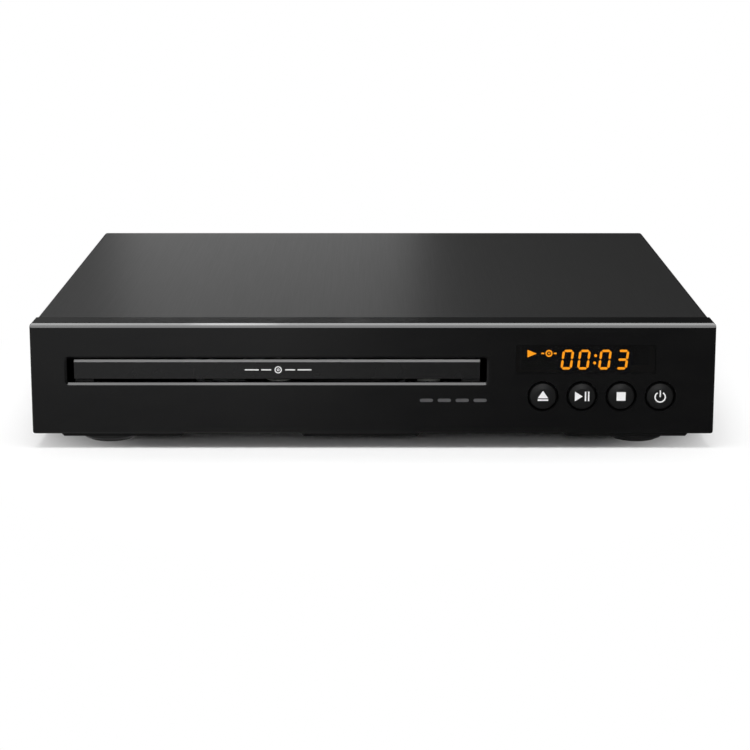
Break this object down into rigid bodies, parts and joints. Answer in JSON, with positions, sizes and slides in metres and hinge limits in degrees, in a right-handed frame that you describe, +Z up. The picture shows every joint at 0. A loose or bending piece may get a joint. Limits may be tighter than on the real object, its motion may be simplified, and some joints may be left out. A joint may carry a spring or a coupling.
{
  "type": "dvd player",
  "caption": "Compact front loading disc player with a sliding tray, display window, round buttons and rear jacks.",
  "frame": {"origin": "bottom centre of the whole player, on the surface it stands on", "axes": "+X to the player's right seen from the front, +Y to the back, +Z up"},
  "size_m": [0.225, 0.205, 0.042],
  "materials": {
    "panel_gloss": "gloss black moulding",
    "window_smoke": "smoked clear plastic",
    "door_satin": "satin black moulding",
    "button_satin": "satin black cap",
    "tray_plastic": "fine textured black",
    "loader_plastic": "moulded, matte",
    "gear_white": "acetal",
    "gear_grey": "acetal",
    "cover_paint": "satin black textured paint",
    "zinc_sheet": "galvanised sheet",
    "rear_paint": "black paint",
    "plated": "nickel plate",
    "screw_black": "black zinc",
    "screw_zinc": "zinc plate",
    "motor_can": "plated can",
    "rod_steel": "ground steel",
    "magnet": "ferrite",
    "lens_glass": "coated glass",
    "belt_rubber": "soft rubber",
    "foot_plastic": "matte",
    "foot_rubber": "soft rubber",
    "board_green": "solder masked board",
    "board_tan": "paper board",
    "chip_black": "moulded package",
    "sink_alu": "extruded",
    "cap_sleeve": "shrink sleeve",
    "display_amber": "lit amber light bars",
    "display_case": "dark filter",
    "jack_yellow": "moulded",
    "jack_white": "moulded",
    "jack_red": "moulded",
    "jack_orange": "moulded",
    "inlet_black": "moulded",
    "ribbon_white": "flat cable",
    "lead_red": "wire insulation",
    "core_ferrite": "ferrite core with taped winding",
    "fuse_glass": "glass tube"
  },
  "bodies": {
    "case": {"front_panel": "panel_gloss", "display_window": "window_smoke", "loader_frame": "loader_plastic", "clamp_bridge": "zinc_sheet", "loading_motor": "motor_can", "drive_belt": "belt_rubber", "base_chassis": "zinc_sheet", "feet": "foot_plastic", "foot_pads": "foot_rubber", "top_cover": "cover_paint", "rear_panel": "rear_paint", "display_board": "board_tan", "display_module": "display_case", "display_segments": "display_amber", "tact_switches": "chip_black", "ir_receiver": "chip_black", "main_board": "board_green", "main_chips": "chip_black", "heat_sink": "sink_alu", "main_capacitors": "cap_sleeve", "power_board": "board_tan", "power_capacitors": "cap_sleeve", "hdmi_socket": "plated", "rca_block": "inlet_black", "jack_shells": "plated", "coax_insert": "jack_orange", "video_insert": "jack_yellow", "left_insert": "jack_white", "right_insert": "jack_red", "mains_inlet": "inlet_black", "inlet_pins": "plated", "transformer": "core_ferrite", "fuse": "fuse_glass", "front_ribbon": "ribbon_white", "power_lead": "lead_red", "cover_screws": "screw_black", "inner_screws": "screw_zinc"},
    "tray": {"disc_tray": "tray_plastic", "tray_door": "door_satin"},
    "drive_gear": {"tray_gear": "gear_white"},
    "pulley": {"pulley_gear": "gear_grey"},
    "motor_wheel": {"motor_pulley": "gear_white"},
    "cam": {"cam_slider": "gear_grey"},
    "traverse": {"traverse_frame": "loader_plastic", "spindle_motor": "motor_can", "guide_rods": "rod_steel", "sled_motor": "motor_can"},
    "spindle": {"turntable": "chip_black", "turntable_mat": "foot_rubber"},
    "sled": {"optical_pickup": "chip_black", "pickup_lens": "lens_glass", "pickup_rack": "gear_white"},
    "sled_wheel": {"sled_gear": "gear_white"},
    "sled_drive": {"sled_pinion": "gear_grey"},
    "clamp": {"clamper": "gear_white", "clamper_magnet": "magnet"},
    "eject": {"eject_button": "button_satin"},
    "play": {"play_button": "button_satin"},
    "stop": {"stop_button": "button_satin"},
    "power": {"power_button": "button_satin"}
  },
  "joints": [
    {"name": "tray_slide", "type": "slide", "parent": "case", "child": "tray", "axis": [0, -1, 0], "range_m": [0, 0.126]},
    {"name": "tray_gear_spin", "type": "hinge", "parent": "case", "child": "drive_gear", "pos_m": [0.0189, -0.0825, 0.014], "axis": [0, 0, 1], "range_deg": [-902.5, 0]},
    {"name": "pulley_gear_spin", "type": "hinge", "parent": "case", "child": "pulley", "pos_m": [0.0009, -0.0825, 0.014], "axis": [0, 0, 1], "range_deg": [0, 1805]},
    {"name": "motor_pulley_spin", "type": "hinge", "parent": "case", "child": "motor_wheel", "pos_m": [-0.0316, -0.0825, 0.014], "axis": [0, 0, 1], "range_deg": [0, 4512.49]},
    {"name": "cam_slide", "type": "slide", "parent": "case", "child": "cam", "axis": [1, 0, 0], "range_m": [0, 0.016]},
    {"name": "traverse_tilt", "type": "hinge", "parent": "case", "child": "traverse", "pos_m": [-0.0316, 0.042, 0.014], "axis": [-1, 0, 0], "range_deg": [0, 3.6]},
    {"name": "spindle_spin", "type": "hinge", "parent": "traverse", "child": "spindle", "pos_m": [-0.0316, -0.0351, 0.02117], "axis": [0, -0.0628, 0.998], "continuous": true},
    {"name": "sled_slide", "type": "slide", "parent": "traverse", "child": "sled", "axis": [0, 0.998, 0.0628], "range_m": [0, 0.033]},
    {"name": "sled_gear_spin", "type": "hinge", "parent": "traverse", "child": "sled_wheel", "pos_m": [0.0026, 0.00941, 0.01445], "axis": [0, -0.0628, 0.998], "range_deg": [-262.63, 0]},
    {"name": "sled_pinion_spin", "type": "hinge", "parent": "traverse", "child": "sled_drive", "pos_m": [0.0026, 0.02019, 0.01513], "axis": [0, -0.0628, 0.998], "range_deg": [0, 525.26]},
    {"name": "clamper_spin", "type": "hinge", "parent": "case", "child": "clamp", "pos_m": [-0.0316, -0.0345, 0.033], "axis": [0, 0, 1], "continuous": true},
    {"name": "eject_press", "type": "slide", "parent": "case", "child": "eject", "axis": [0, 1, 0], "range_m": [0, 0.0006], "stiffness_N_per_m": 400},
    {"name": "play_press", "type": "slide", "parent": "case", "child": "play", "axis": [0, 1, 0], "range_m": [0, 0.0006], "stiffness_N_per_m": 400},
    {"name": "stop_press", "type": "slide", "parent": "case", "child": "stop", "axis": [0, 1, 0], "range_m": [0, 0.0006], "stiffness_N_per_m": 400},
    {"name": "power_press", "type": "slide", "parent": "case", "child": "power", "axis": [0, 1, 0], "range_m": [0, 0.0006], "stiffness_N_per_m": 400}
  ],
  "couplings": [
    {"joint": "tray_gear_spin", "follows": "tray_slide", "rad_per_m": -125},
    {"joint": "pulley_gear_spin", "follows": "tray_slide", "rad_per_m": 250},
    {"joint": "motor_pulley_spin", "follows": "tray_slide", "rad_per_m": 625},
    {"joint": "traverse_tilt", "follows": "cam_slide", "rad_per_m": 3.927},
    {"joint": "sled_gear_spin", "follows": "sled_slide", "rad_per_m": -138.89},
    {"joint": "sled_pinion_spin", "follows": "sled_slide", "rad_per_m": 277.78}
  ]
}
